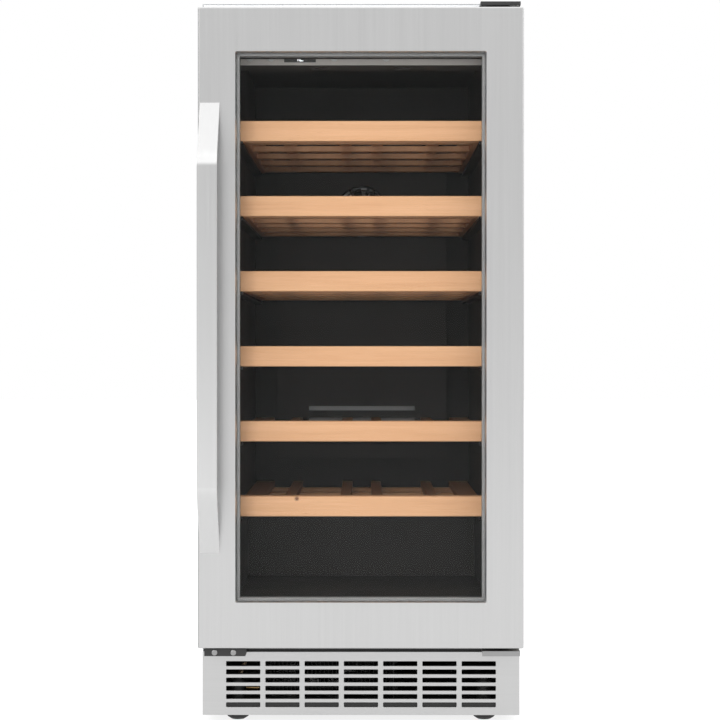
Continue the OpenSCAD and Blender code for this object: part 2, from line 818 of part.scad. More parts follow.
module button(s) {
    flange_r = button_r + 1.6;
    flange_y = panel_front_y + panel_wall + seat_gap;
    cap_y = panel_front_y - 1.6;
    stem_y = panel_front_y + panel_wall + board_gap - button_travel - seat_gap;
    color([0.75, 0.75, 0.74]) {
        rod_y(button_r, spot_x(s), button_row_z, cap_y, flange_y + over);
        rod_y(flange_r, spot_x(s), button_row_z, flange_y, flange_y + 1.5);
        rod_y(1.8, spot_x(s), button_row_z, flange_y + over, stem_y);
    }
}

module led_lens() {
    w = 180;
    d = 14;
    h = 6;
    y = panel_front_y + panel_d + 2;
    color("white") difference() {
        centred(w, y, y + d, cavity_top_z - h, cavity_top_z);
        centred(w - 4, y + 2, y + d - 2, cavity_top_z - h + 2, cavity_top_z + over);
    }
}

// ---- Racks ----

module shelf_rails() {
    color([0.12, 0.12, 0.12]) for (i = [1:rack_count], side = [-1, 1]) {
        top = rack_top_z(i) - bar_h - seat_gap;
        x0 = side * cavity_w / 2;
        x1 = side * (cavity_w / 2 - rail_w);
        block([min(x0, x1), rail_front_y, top - rail_t], [max(x0, x1), rack_back_y, top]);
    }
}

module shelf_front(i) {
    top = rack_top_z(i);
    color([0.93, 0.76, 0.6]) centred(rack_w, bar_front_y, bar_front_y + bar_t, top - bar_h, top);
}

module shelf_rack(i) {
    low = rack_top_z(i) - bar_h;
    y0 = bar_front_y + bar_t;
    mid = low + cross_slat_t;
    crosses = 5;
    half = rack_w / 2 - rack_step_in;
    lanes = [-(rack_w / 2 - lane_edge), 0, rack_w / 2 - lane_edge];
    color([0.85, 0.66, 0.48]) {
        for (s = [-1, 1]) block([s < 0 ? -half : half - runner_w, y0, low],
                                [s < 0 ? -half + runner_w : half, rack_back_y, mid + top_slat_t]);
        for (c = [0:crosses - 1]) {
            y = y0 + 10 + c * (rack_back_y - y0 - 20 - slat_w) / (crosses - 1);
            centred(2 * half - 2 * runner_w + 2, y, y + slat_w, low, mid);
        }
        for (x = lanes, s = [-1, 1])
            block([x + s * slat_half_gap - slat_w / 2, y0, mid],
                  [x + s * slat_half_gap + slat_w / 2, rack_back_y, mid + top_slat_t]);
    }
}

// ---- Door ----

module window_cut(grow, y0, y1) {
    centred(window_w + 2 * grow, y0, y1, window_bottom_z - grow, window_top_z + grow);
}

// Tapered cut that bevels the window's edge
module window_bevel_cut() {
    h = window_top_z - window_bottom_z;
    b = window_bevel;
    translate([0, door_front_y + b, (window_top_z + window_bottom_z) / 2]) rotate([90, 0, 0])
        linear_extrude(b, slices = 1, $fn = 4, scale = [(window_w + 2 * b) / window_w, (h + 2 * b) / h])
            square([window_w, h], center = true);
}

module at_handle_screws() {
    for (z = [handle_top_z - handle_screw_drop, handle_top_z - handle_len + handle_screw_drop])
        translate([handle_x, door_front_y + skin_t, z]) rotate([-90, 0, 0]) children();
}

module at_bushes() {
    translate([pin_x, pin_y, door_top_z]) children();
    translate([pin_x, pin_y, door_bottom_z]) mirror([0, 0, 1]) children();
}

module door_frame() {
    color("silver") difference() {
        union() {
            difference() {
                centred(door_w, door_front_y, door_back_y, door_bottom_z, door_top_z);
                centred(door_w - 2 * skin_t, door_front_y + skin_t, door_back_y + over,
                        door_bottom_z + skin_t, door_top_z - skin_t);
            }
            window_cut(fold_t, door_front_y, outer_pane_y);
        }
        window_cut(0, door_front_y - over, outer_pane_y + over);
        window_bevel_cut();
        at_bushes() translate([0, 0, -skin_t - over]) cylinder(r = bush_r, h = skin_t + 2 * over);
        at_handle_screws() screw_hole(skin_t);
    }
}

module door_inner_frame() {
    color([0.22, 0.22, 0.22]) difference() {
        centred(door_w - 2 * skin_t, door_front_y + skin_t, door_back_y,
                door_bottom_z + skin_t, door_top_z - skin_t);
        window_cut(-lip_inset, door_front_y, door_back_y + over);
        window_cut(fold_t, door_front_y, outer_pane_y);
        window_cut(glass_rebate, outer_pane_y, lip_y);
        at_bushes() translate([0, 0, -bush_l]) cylinder(r = bush_r, h = bush_l + over);
        at_handle_screws() translate([0, 0, -over]) cylinder(r = screw_head_r + 1, h = handle_screw_l + over);
    }
}

module outer_glass() { color([0.7, 0.75, 0.75, 0.3]) window_cut(glass_rebate, outer_pane_y, spacer_y); }
module inner_glass() { color([0.7, 0.75, 0.75, 0.3]) window_cut(glass_rebate, inner_pane_y, lip_y); }

module glass_spacer() {
    color("silver") difference() {
        window_cut(glass_rebate, spacer_y, inner_pane_y);
        window_cut(glass_rebate - spacer_w, spacer_y - over, inner_pane_y + over);
    }
}

module door_gasket() {
    inner_x = cavity_w + 2 * gasket_inset;
    z0 = cavity_floor_z - gasket_inset;
    z1 = cavity_top_z + gasket_inset;
    y1 = front_y - seat_gap;
    color([0.12, 0.12, 0.12]) difference() {
        centred(inner_x + 2 * gasket_w, door_back_y, y1, z0 - gasket_w, z1 + gasket_w);
        centred(inner_x, door_back_y - over, y1 + over, z0, z1);
    }
}

module hinge_bushes() {
    color("ivory") at_bushes() difference() {
        union() {
            translate([0, 0, -bush_l]) cylinder(r = bush_r, h = bush_l);
            cylinder(r = bush_flange_r, h = bush_flange_t);
        }
        translate([0, 0, -pin_engage - 2])
            cylinder(r = pin_r + run_gap, h = pin_engage + 2 + bush_flange_t + over);
    }
}

module handle() {
    slope_a = atan2(handle_reach, handle_slope);
    bend = handle_t * tan(slope_a / 2);
    low_z = handle_top_z - handle_len;
    out_y = door_front_y - handle_reach;
    color("silver") difference() {
        translate([handle_x, 0, 0]) across(handle_w, [
            [door_front_y, low_z], [out_y, low_z + handle_slope], [out_y, handle_top_z - handle_slope],
            [door_front_y, handle_top_z], [door_front_y, handle_top_z - handle_end_h],
            [out_y + handle_t, handle_top_z - handle_slope - bend],
            [out_y + handle_t, low_z + handle_slope + bend],
            [door_front_y, low_z + handle_end_h]]);
        at_handle_screws() translate([0, 0, -skin_t - handle_screw_l])
            cylinder(r = screw_r, h = handle_screw_l + skin_t);
    }
}

module handle_screws() {
    color("lightgrey") at_handle_screws() screw(skin_t + handle_screw_l - screw_gap);
}

// ---- Feet ----

module foot(side, y) {
    pad_h = 9;
    edge = 3;
    nut_r = 9;
    nut_h = 7;
    color([0.06, 0.06, 0.06]) translate([side * (cabinet_w / 2 - foot_inset), y, 0]) {
        rotate_extrude() polygon([[0, 0], [foot_r - 2 * edge, 0], [foot_r - edge / 2, edge],
                                  [foot_r, 2 * edge], [foot_r, pad_h], [0, pad_h]]);
        translate([0, 0, pad_h]) cylinder(r = nut_r, h = nut_h, $fn = 6);
        cylinder(r = stem_r, h = pan_top_z + foot_travel + 12);
    }
}

cabinet_wrap();
back_panel();
foam_insulation();
inner_liner();
machine_deck();
base_pan();
toe_grille();
rear_grille();
top_hinge_bracket();
top_hinge_cover();
bottom_hinge_bracket();
door_stop_block();
cabinet_screws();
compressor();
compressor_grommets();
condenser_coil();
condenser_fan_frame();
condenser_fan_rotor();
filter_drier();
refrigerant_tubes();
evaporator_plate();
evaporator_cover();
evaporator_fan_frame();
evaporator_fan_rotor();
drip_tray();
mains_inlet();
control_panel();
display_window();
control_board();
button(button_spots[0]);  // button_power
button(button_spots[1]);  // button_light
button(button_spots[2]);  // button_up
button(button_spots[3]);  // button_down
led_lens();
shelf_rails();
door_frame();
door_inner_frame();
outer_glass();
glass_spacer();
inner_glass();
door_gasket();
hinge_bushes();
handle();
handle_screws();
foot(-1, front_y + foot_setback);  // foot_front_left
foot(1, front_y + foot_setback);  // foot_front_right
foot(-1, back_y - foot_setback);  // foot_rear_left
foot(1, back_y - foot_setback);  // foot_rear_right
for (i = [1:rack_count]) {
    shelf_front(i);
    shelf_rack(i);
}
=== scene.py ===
"""Looks of an undercounter wine cooler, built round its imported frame.

The frame gives every size and place, in metres: +Z is up, the door faces -Y and its hinge is on +X.
Each sub-assembly is a class that shapes its pieces with Blender's own tools and dresses them.
"""

import logging  # noqa: E402
import math  # noqa: E402
from contextlib import contextmanager  # noqa: E402
from dataclasses import dataclass  # noqa: E402
from enum import Enum  # noqa: E402
from typing import Any, Callable, Iterator, Sequence  # noqa: E402

import bmesh  # noqa: E402
import bpy  # noqa: E402
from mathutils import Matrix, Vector  # noqa: E402


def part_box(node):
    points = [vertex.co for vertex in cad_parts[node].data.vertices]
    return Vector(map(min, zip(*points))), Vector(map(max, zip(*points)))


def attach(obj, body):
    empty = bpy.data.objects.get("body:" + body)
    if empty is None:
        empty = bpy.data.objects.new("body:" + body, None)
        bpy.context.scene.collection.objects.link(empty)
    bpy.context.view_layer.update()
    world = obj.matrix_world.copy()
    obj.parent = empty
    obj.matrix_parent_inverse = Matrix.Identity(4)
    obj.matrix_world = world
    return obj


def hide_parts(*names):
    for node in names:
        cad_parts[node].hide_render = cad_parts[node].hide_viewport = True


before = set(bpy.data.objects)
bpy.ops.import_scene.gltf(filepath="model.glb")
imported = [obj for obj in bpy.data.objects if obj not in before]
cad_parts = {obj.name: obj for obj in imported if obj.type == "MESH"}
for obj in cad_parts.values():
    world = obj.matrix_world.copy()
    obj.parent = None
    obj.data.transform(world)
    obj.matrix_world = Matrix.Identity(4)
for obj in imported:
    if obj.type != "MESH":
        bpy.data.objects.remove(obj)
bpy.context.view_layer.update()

log = logging.getLogger("wine_cooler")
MM = 0.001
Colour = tuple[float, float, float]
Thing = bpy.types.Object


class Along(Enum):
    """The axis that a grain or a brushing runs along."""

    X = 0
    Y = 1
    Z = 2


# ---------------------------------------------------------------- shader maths


class Signal:
    """One output socket of a material, which takes part in Python expressions."""

    def __init__(self, net: "Net", socket: bpy.types.NodeSocket) -> None:
        """Keeps the socket and the material that it is in."""
        self.net = net
        self.socket = socket

    def _math(self, operation: str, first: Any, second: Any) -> "Signal":
        """Adds a Math node."""
        return self.net.node("ShaderNodeMath", {"operation": operation}, {0: first, 1: second})

    def __add__(self, other: Any) -> "Signal":
        """self + other."""
        return self._math("ADD", self, other)

    def __mul__(self, other: Any) -> "Signal":
        """self * other."""
        return self._math("MULTIPLY", self, other)


class Net:
    """The node network of one material."""

    def __init__(self, name: str) -> None:
        """Starts an empty material.

        Args:
            name: the material's name.
        """
        self.material = bpy.data.materials.new(name)
        self.material.use_nodes = True
        self.tree = self.material.node_tree
        self.tree.nodes.clear()

    def node(self, kind: str, settings: dict | None = None, values: dict | None = None,
             out: int | str = 0) -> Signal:
        """Adds a node.

        Args:
            kind: the node's type.
            settings: its own settings, set first; "stops" are a colour ramp's.
            values: numbers, colours or signals for its input sockets.
            out: the output socket to return.

        Returns:
            The chosen output.
        """
        made = self.tree.nodes.new(kind)
        for key, value in (settings or {}).items():
            if key == "stops":
                ramp = made.color_ramp.elements
                while len(ramp) < len(value):
                    ramp.new(0.5)
                for element, (place, colour) in zip(ramp, value):
                    element.position = place
                    element.color = (*colour, 1.0)
            else:
                setattr(made, key, value)
        for key, value in (values or {}).items():
            if isinstance(value, Signal):
                self.tree.links.new(value.socket, made.inputs[key])
            else:
                made.inputs[key].default_value = value
        return Signal(self, made.outputs[out])

    def place(self, scale: Sequence[float]) -> Signal:
        """Object coordinates, in metres, times a scale on each axis."""
        here = self.node("ShaderNodeTexCoord", out="Object")
        return self.node("ShaderNodeMapping", values={"Vector": here, "Scale": tuple(scale)})

    def noise(self, scale: Sequence[float], detail: float = 3.0, rough: float = 0.55) -> Signal:
        """Noise from 0 to 1, with that many waves a metre along each axis."""
        return self.node("ShaderNodeTexNoise", values={
            "Vector": self.place(scale), "Scale": 1.0, "Detail": detail, "Roughness": rough})

    def spread(self, value: Signal, low: float, high: float, to_low: float, to_high: float) -> Signal:
        """Stretches low to high over to_low to to_high, and holds it there."""
        return self.node("ShaderNodeMapRange", {"clamp": True}, {
            "Value": value, "From Min": low, "From Max": high, "To Min": to_low, "To Max": to_high})

    def tint(self, factor: Signal, first: Any, second: Any) -> Signal:
        """Mixes two colours."""
        first, second = ((*c, 1.0) if isinstance(c, tuple) else c for c in (first, second))
        return self.node("ShaderNodeMix", {"data_type": "RGBA"}, {0: factor, 6: first, 7: second}, out=2)

    def relief(self, height: Signal, distance: float, strength: float = 1.0) -> Signal:
        """A normal from a height of 0 to 1, which stands for that distance in metres."""
        return self.node("ShaderNodeBump", values={
            "Strength": strength, "Distance": distance, "Height": height})

    def surface(self, **values: Any) -> Signal:
        """A Principled shader; an underscore in a name stands for a space."""
        named = {key.replace("_", " "): ((*v, 1.0) if isinstance(v, tuple) else v)
                 for key, v in values.items()}
        return self.node("ShaderNodeBsdfPrincipled", values=named)

    def end(self, shader: Signal) -> bpy.types.Material:
        """Joins the shader to the material's output."""
        output = self.tree.nodes.new("ShaderNodeOutputMaterial")
        self.tree.links.new(shader.socket, output.inputs["Surface"])
        return self.material


# ---------------------------------------------------------------- finishes


@dataclass(frozen=True)
class Finish:
    """A surface that becomes one material, made once."""

    name: str

    def shader(self, net: Net) -> Signal:
        """The finish's shader."""
        raise NotImplementedError

    def material(self) -> bpy.types.Material:
        """The material, built the first time it is asked for."""
        found = bpy.data.materials.get(self.name)
        if found:
            return found
        net = Net(self.name)
        return net.end(self.shader(net))


def along_scale(along: Along, across: float, lengthwise: float) -> list[float]:
    """Waves a metre on each axis for a streak that runs along one of them."""
    scale = [across] * 3
    scale[along.value] = lengthwise
    return scale


@dataclass(frozen=True)
class BrushedSteel(Finish):
    """Stainless steel with fine, straight brushing."""

    tone: float = 0.54
    along: Along = Along.Z
    rough: float = 0.3
    warmth: float = 0.0

    def shader(self, net: Net) -> Signal:
        """Fine streaks in tone, gloss and relief over broad, faint clouds."""
        fine = net.noise(along_scale(self.along, 2600, 14), 2.0)
        band = net.noise(along_scale(self.along, 240, 2.2), 3.0)
        cloud = net.noise((5, 5, 3), 2.0)
        mark = fine * 0.45 + band * 0.35 + cloud * 0.2
        low, high = self.tone * 0.965, min(1.0, self.tone * 1.03)
        dark = (low + self.warmth, low, low - self.warmth)
        light = (high + self.warmth, high, high - self.warmth)
        return net.surface(
            Base_Color=net.tint(net.spread(mark, 0.35, 0.65, 0, 1), dark, light), Metallic=1.0,
            Roughness=net.spread(mark, 0.3, 0.7, self.rough - 0.03, self.rough + 0.04),
            Normal=net.relief(fine, 0.00002, 0.25))


@dataclass(frozen=True)
class Moulded(Finish):
    """Plastic, rubber, paint or foam: a coloured surface with a grain."""

    colour: Colour = (0.02, 0.02, 0.02)
    change: float = 0.15
    rough: float = 0.5
    grain: float = 1400.0
    depth: float = 0.00005
    metallic: float = 0.0
    coat: float = 0.0

    def shader(self, net: Net) -> Signal:
        """A fine grain in relief, broad patches in gloss and tone, and the grain's hollows a little
        darker.
        """
        grain = net.noise((self.grain,) * 3, 2.0)
        patch = net.noise((9, 9, 7), 4.0)
        low = tuple(c * (1 - self.change) for c in self.colour)
        high = tuple(min(1.0, c * (1 + self.change)) for c in self.colour)
        mark = grain * 0.35 + patch * 0.65
        return net.surface(
            Base_Color=net.tint(net.spread(mark, 0.3, 0.7, 0, 1), low, high), Metallic=self.metallic,
            Roughness=net.spread(mark, 0.3, 0.7, self.rough - 0.07, self.rough + 0.09),
            Coat_Weight=self.coat, Normal=net.relief(grain, self.depth))


@dataclass(frozen=True)
class Spangled(Finish):
    """Zinc-coated sheet with its crystal spangle."""

    tone: float = 0.5

    def shader(self, net: Net) -> Signal:
        """Cells of slightly different tone and gloss, with faint rolling streaks."""
        cell = net.node("ShaderNodeTexVoronoi", {"feature": "F1"},
                        {"Vector": net.place((160, 160, 160)), "Scale": 1.0}, out="Color")
        tone = net.node("ShaderNodeRGBToBW", values={0: cell})
        streak = net.noise((30, 400, 30), 3.0)
        mark = tone * 0.6 + streak * 0.4
        low, high = self.tone * 0.88, self.tone * 1.06
        return net.surface(
            Base_Color=net.tint(net.spread(mark, 0.3, 0.7, 0, 1), (low, low, low * 1.03), (high,) * 3),
            Metallic=0.9, Roughness=net.spread(mark, 0.2, 0.8, 0.36, 0.52),
            Normal=net.relief(tone, 0.00003, 0.4))


@dataclass(frozen=True)
class Beech(Finish):
    """Oiled beech with a fine straight grain, short flecks and, on one bar, a small knot."""

    along: Along = Along.X
    knot: Vector | None = None
    pale: Colour = (0.85, 0.49, 0.275)
    deep: Colour = (0.69, 0.355, 0.175)

    def shader(self, net: Net) -> Signal:
        """Growth bands, fibres and flecks along the grain, in tone, gloss and relief."""
        band = net.noise(along_scale(self.along, 75, 2.4), 4.0, 0.6)
        fibre = net.noise(along_scale(self.along, 1300, 22), 3.0)
        fleck = net.spread(net.noise(along_scale(self.along, 900, 110), 1.0), 0.66, 0.72, 0, 1)
        grain = band * 0.6 + fibre * 0.4
        wood = net.tint(net.spread(grain, 0.32, 0.68, 0, 1), self.deep, self.pale)
        wood = net.tint(fleck * 0.35, wood, (0.5, 0.24, 0.12))
        if self.knot is not None:
            here = net.node("ShaderNodeTexCoord", out="Object")
            away = net.node("ShaderNodeVectorMath", {"operation": "DISTANCE"},
                            {0: here, 1: tuple(self.knot)}, out="Value")
            eye = net.spread(away, 0.0012, 0.0035, 0.85, 0)
            wood = net.tint(eye, wood, (0.12, 0.035, 0.015))
        return net.surface(
            Base_Color=wood, Roughness=net.spread(grain, 0.3, 0.7, 0.42, 0.56),
            Normal=net.relief(fibre, 0.00004, 0.6))


@dataclass(frozen=True)
class Pane(Finish):
    """Clear, faintly tinted glass that mirrors a little of the room."""

    tint_colour: Colour = (0.982, 0.984, 0.983)
    mirror: float = 0.13

    def shader(self, net: Net) -> Signal:
        """See-through, with a mirror share that grows towards the edge of view."""
        clear = net.node("ShaderNodeBsdfTransparent", values={"Color": (*self.tint_colour, 1.0)})
        smear = net.noise((14, 14, 9), 3.0)
        gloss = net.surface(Base_Color=(0.75, 0.78, 0.78), Metallic=1.0,
                            Roughness=net.spread(smear, 0.3, 0.7, 0.02, 0.05))
        share = net.node("ShaderNodeFresnel", values={"IOR": 1.45}) * self.mirror
        return net.node("ShaderNodeMixShader", values={0: share, 1: clear, 2: gloss})


@dataclass(frozen=True)
class Circuit(Finish):
    """A lacquered circuit board with its traces and pads."""

    def shader(self, net: Net) -> Signal:
        """Straight-sided traces in cells, under a clear lacquer."""
        cell = net.node("ShaderNodeTexVoronoi", {"feature": "F1", "distance": "MANHATTAN"},
                        {"Vector": net.place((420, 420, 420)), "Scale": 1.0}, out="Distance")
        trace = net.spread(cell, 0.42, 0.48, 0, 1)
        cloud = net.noise((60, 60, 60), 2.0)
        board = net.tint(cloud, (0.008, 0.085, 0.03), (0.015, 0.13, 0.05))
        return net.surface(Base_Color=net.tint(trace * 0.5, board, (0.06, 0.3, 0.12)),
                           Roughness=net.spread(cell, 0, 1, 0.3, 0.45), Coat_Weight=0.4,
                           Normal=net.relief(trace, 0.00003))


@dataclass(frozen=True)
class Glow(Finish):
    """The studio's pale floor, lit from within so that it stays even."""

    def shader(self, net: Net) -> Signal:
        """A dull surface that glows nearly white."""
        mottle = net.noise((40,) * 3, 2.0)
        return net.surface(Base_Color=net.tint(mottle, (0.17,) * 3, (0.19,) * 3), Roughness=0.8,
                           Emission_Color=(1.0, 1.0, 1.0), Emission_Strength=0.84)


@dataclass(frozen=True)
class Lamp(Finish):
    """A frosted surface that glows a little."""

    colour: Colour = (1.0, 1.0, 1.0)
    power: float = 0.4

    def shader(self, net: Net) -> Signal:
        """Frosted plastic with a steady glow."""
        frost = net.noise((900,) * 3, 2.0)
        return net.surface(Base_Color=net.tint(frost, tuple(c * 0.86 for c in self.colour), self.colour),
                           Roughness=net.spread(frost, 0.3, 0.7, 0.35, 0.5),
                           Emission_Color=self.colour, Emission_Strength=self.power,
                           Normal=net.relief(frost, 0.00003))


STAINLESS = BrushedSteel("stainless_brushed")
GRILLE_STEEL = BrushedSteel("grille_steel", tone=0.53, along=Along.X, rough=0.33)
HANDLE_STEEL = BrushedSteel("handle_steel", tone=0.6, along=Along.Z, rough=0.24)
# Darker steel for the door's rounded edge on the handle's side: painted shade, for light falling from the
# hinge side.
SHADED_EDGE_STEEL = BrushedSteel("painted_shade_edge_steel", tone=0.3)
BARE_STEEL = BrushedSteel("hinge_steel", tone=0.32, along=Along.X, rough=0.36)
ALUMINIUM = BrushedSteel("mill_aluminium", tone=0.74, along=Along.X, rough=0.34)
SPACER = Moulded("spacer_grey", (0.22, 0.22, 0.22), 0.06, 0.45, 900, 0.00003)
COPPER = BrushedSteel("drawn_copper", tone=0.36, along=Along.Z, rough=0.3, warmth=0.2)
SHEET = Moulded("cabinet_paint", (0.34, 0.35, 0.36), 0.05, 0.42, 1100, 0.00004, coat=0.15)
ZINC = Spangled("zinc_sheet")
BLACK_STEEL = Moulded("black_coated_steel", (0.012, 0.012, 0.012), 0.2, 0.5, 900, 0.00004)
FLANGE = Moulded("flange_paint", (0.66, 0.67, 0.68), 0.04, 0.4, 1100, 0.00003, coat=0.15)
LINER = Moulded("liner_charcoal", (0.048, 0.044, 0.042), 0.2, 0.52, 700, 0.00008)
BLACK = Moulded("moulded_black", (0.014, 0.014, 0.014), 0.25, 0.45, 1500, 0.00005)
PANEL = Moulded("control_grey", (0.58, 0.54, 0.51), 0.07, 0.44, 1300, 0.00003)
CAN = Moulded("compressor_enamel", (0.012, 0.012, 0.013), 0.2, 0.28, 700, 0.00005, coat=0.4)
RUBBER = Moulded("rubber_black", (0.018, 0.018, 0.018), 0.3, 0.72, 1800, 0.00008)
GASKET = Moulded("gasket_vinyl", (0.03, 0.03, 0.031), 0.2, 0.55, 1100, 0.00004)
FOAM = Moulded("foam_cream", (0.78, 0.66, 0.36), 0.16, 0.85, 500, 0.0004)
IVORY = Moulded("bush_nylon", (0.72, 0.69, 0.6), 0.06, 0.45, 1200, 0.00003)
TRAY = Moulded("tray_white", (0.76, 0.76, 0.74), 0.05, 0.5, 1200, 0.00003)
# The button caps glow a little though no lamp sits behind them: painted light that keeps them white.
GLOWING_CAP = Lamp("button_cap", (0.95, 0.95, 0.94), 0.3)
SCREEN = Moulded("display_gloss", (0.12, 0.118, 0.115), 0.1, 0.12, 600, 0.00001, coat=0.8)
GLASS = Pane("pane_clear")
BOARD = Circuit("circuit_board")
LENS = Lamp("lens_frosted", (0.93, 0.94, 0.95), 0.12)
DIGIT = Lamp("digit_light", (0.95, 0.97, 1.0), 1.6)
BEECH = Beech("beech_bar")
BEECH_SLATS = Beech("beech_slats", along=Along.Y, pale=(0.6, 0.32, 0.165), deep=(0.44, 0.21, 0.1))


# ---------------------------------------------------------------- modelling


class Bench:
    """The modelling tools: each works on one piece, as by hand."""

    @staticmethod
    def take(thing: Thing) -> None:
        """Selects one piece and nothing else."""
        bpy.ops.object.select_all(action="DESELECT")
        thing.select_set(True)
        bpy.context.view_layer.objects.active = thing

    @staticmethod
    @contextmanager
    def editing(thing: Thing, mode: str = "EDGE") -> Iterator[None]:
        """Edit mode on one piece, with nothing of it selected at first.

        Args:
            thing: the piece.
            mode: VERT, EDGE or FACE.
        """
        Bench.take(thing)
        bpy.ops.object.mode_set(mode="EDIT")
        bpy.ops.mesh.select_mode(type=mode)
        bpy.ops.mesh.select_all(action="DESELECT")
        yield
        bpy.ops.object.mode_set(mode="OBJECT")

    @staticmethod
    def pick(thing: Thing, kind: str, test: Callable[[Any], bool]) -> int:
        """Selects the parts of the edited mesh that pass a test.

        Args:
            thing: the piece being edited.
            kind: verts, edges or faces.
            test: says whether a part is wanted.

        Returns:
            How many were selected.
        """
        mesh = bmesh.from_edit_mesh(thing.data)
        bpy.ops.mesh.select_all(action="DESELECT")
        count = 0
        for part in getattr(mesh, kind):
            if test(part):
                part.select_set(True)
                count += 1
        mesh.select_flush_mode()
        bmesh.update_edit_mesh(thing.data)
        return count

    @staticmethod
    def settle(thing: Thing) -> None:
        """Puts the piece's place, turn and scale into its mesh."""
        Bench.take(thing)
        bpy.ops.object.transform_apply(location=True, rotation=True, scale=True)

    @staticmethod
    def block(name: str, low: Sequence[float], high: Sequence[float]) -> Thing:
        """A block between two corners, to be shaped further."""
        low, high = Vector(low), Vector(high)
        bpy.ops.object.select_all(action="DESELECT")
        bpy.ops.mesh.primitive_cube_add(size=1, location=(low + high) / 2, scale=high - low)
        made = bpy.context.object
        made.name = made.data.name = name
        Bench.settle(made)
        return made

    @staticmethod
    def disc(name: str, centre: Sequence[float], radius: float, depth: float, sides: int = 40,
             facing: Along = Along.Z) -> Thing:
        """A round blank along an axis, centred at a point, to be shaped further."""
        turn = {Along.X: (0, math.pi / 2, 0), Along.Y: (math.pi / 2, 0, 0), Along.Z: (0, 0, 0)}[facing]
        bpy.ops.object.select_all(action="DESELECT")
        bpy.ops.mesh.primitive_cylinder_add(vertices=sides, radius=radius, depth=depth,
                                            location=Vector(centre), rotation=turn)
        made = bpy.context.object
        made.name = made.data.name = name
        Bench.settle(made)
        return made

    @staticmethod
    def modify(thing: Thing, kind: str, **settings: Any) -> None:
        """Adds a modifier and applies it at once."""
        Bench.take(thing)
        modifier = thing.modifiers.new(kind.lower(), kind)
        for key, value in settings.items():
            setattr(modifier, key, value)
        bpy.ops.object.modifier_apply(modifier=modifier.name)

    @staticmethod
    def soften(thing: Thing, width: float, segments: int = 2, angle: float = 40.0) -> None:
        """Rounds every edge sharper than an angle in degrees."""
        Bench.modify(thing, "BEVEL", width=width, segments=segments, limit_method="ANGLE",
                     angle_limit=math.radians(angle), use_clamp_overlap=True)

    @staticmethod
    def carve(thing: Thing, cutter: Thing, operation: str = "DIFFERENCE") -> None:
        """Cuts a piece with another, which is used up."""
        Bench.modify(thing, "BOOLEAN", operation=operation, object=cutter, solver="EXACT")
        bpy.data.objects.remove(cutter)

    @staticmethod
    def join(things: Sequence[Thing]) -> Thing:
        """Joins pieces into the first one."""
        bpy.ops.object.select_all(action="DESELECT")
        for thing in things:
            thing.select_set(True)
        bpy.context.view_layer.objects.active = things[0]
        bpy.ops.object.join()
        return things[0]

    @staticmethod
    def polish(thing: Thing, angle: float = 38.0) -> None:
        """Smooth shading up to an angle, with flat faces kept flat."""
        Bench.take(thing)
        bpy.ops.object.shade_smooth_by_angle(angle=math.radians(angle))
        Bench.modify(thing, "WEIGHTED_NORMAL", keep_sharp=True)

    @staticmethod
    def copy_of(node: str, whole: bool = True) -> Thing:
        """A merged copy of a CAD node.

        Args:
            node: the node's name.
            whole: whether flat faces become one face each; faces with holes stay in quads.

        Returns:
            The copy.
        """
        made = bpy.data.objects.new(node + "_shaped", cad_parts[node].data.copy())
        bpy.context.scene.collection.objects.link(made)
        made.data.name = made.name
        made.data.materials.clear()
        with Bench.editing(made, "FACE"):
            bpy.ops.mesh.select_all(action="SELECT")
            bpy.ops.mesh.remove_doubles(threshold=0.00001)
            if whole:
                bpy.ops.mesh.dissolve_limited(angle_limit=math.radians(0.6))
            else:
                bpy.ops.mesh.tris_convert_to_quads(face_threshold=math.radians(1), shape_threshold=math.pi)
        return made


def place(piece: Thing, finish: Finish, body: str, slot: str, nodes: Sequence[str] = (),
          smooth: bool = True) -> Thing:
    """Finishes a piece: its shading, its material, the body it rides on and what it stands for.

    Args:
        piece: the finished mesh.
        finish: its surface.
        body: the CAD body that carries it.
        slot: the record's material slot; not used.
        nodes: the CAD nodes that it stands for.
        smooth: whether its rounded edges are shaded smooth.

    Returns:
        The piece.
    """
    if smooth:
        Bench.polish(piece)
    piece.data.materials.clear()
    piece.data.materials.append(finish.material())
    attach(piece, body)
    if nodes:
        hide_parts(*nodes)
    log.info("%s on %s: %d faces, %s", piece.name, body, len(piece.data.polygons), finish.name)
    return piece


def dress(finish: Finish, *nodes: str) -> None:
    """Gives CAD nodes that stay as they are their finish.

    Args:
        finish: the surface.
        nodes: the nodes' names.
    """
    for name in nodes:
        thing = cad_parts[name]
        thing.data.materials.clear()
        thing.data.materials.append(finish.material())
        for polygon in thing.data.polygons:
            polygon.material_index = 0
        log.info("%s keeps its shape: %s", name, finish.name)


def trim(node: str, finish: Finish, body: str, slot: str, width: float, segments: int = 2,
         angle: float = 40.0, whole: bool = True) -> Thing:
    """Replaces a CAD node by a copy of it with rounded edges.

    Args:
        node: the node's name.
        finish: the surface.
        body: the CAD body that carries it.
        slot: the record's material slot.
        width: the radius of its edges, in metres.
        segments: the steps in each rounding.
        angle: the least angle of an edge that is rounded, in degrees.
        whole: False for a shape whose flat faces have holes.

    Returns:
        The new piece.
    """
    made = Bench.copy_of(node, whole)
    Bench.soften(made, width, segments, angle)
    return place(made, finish, body, slot, [node])


# ---------------------------------------------------------------- sub-assemblies


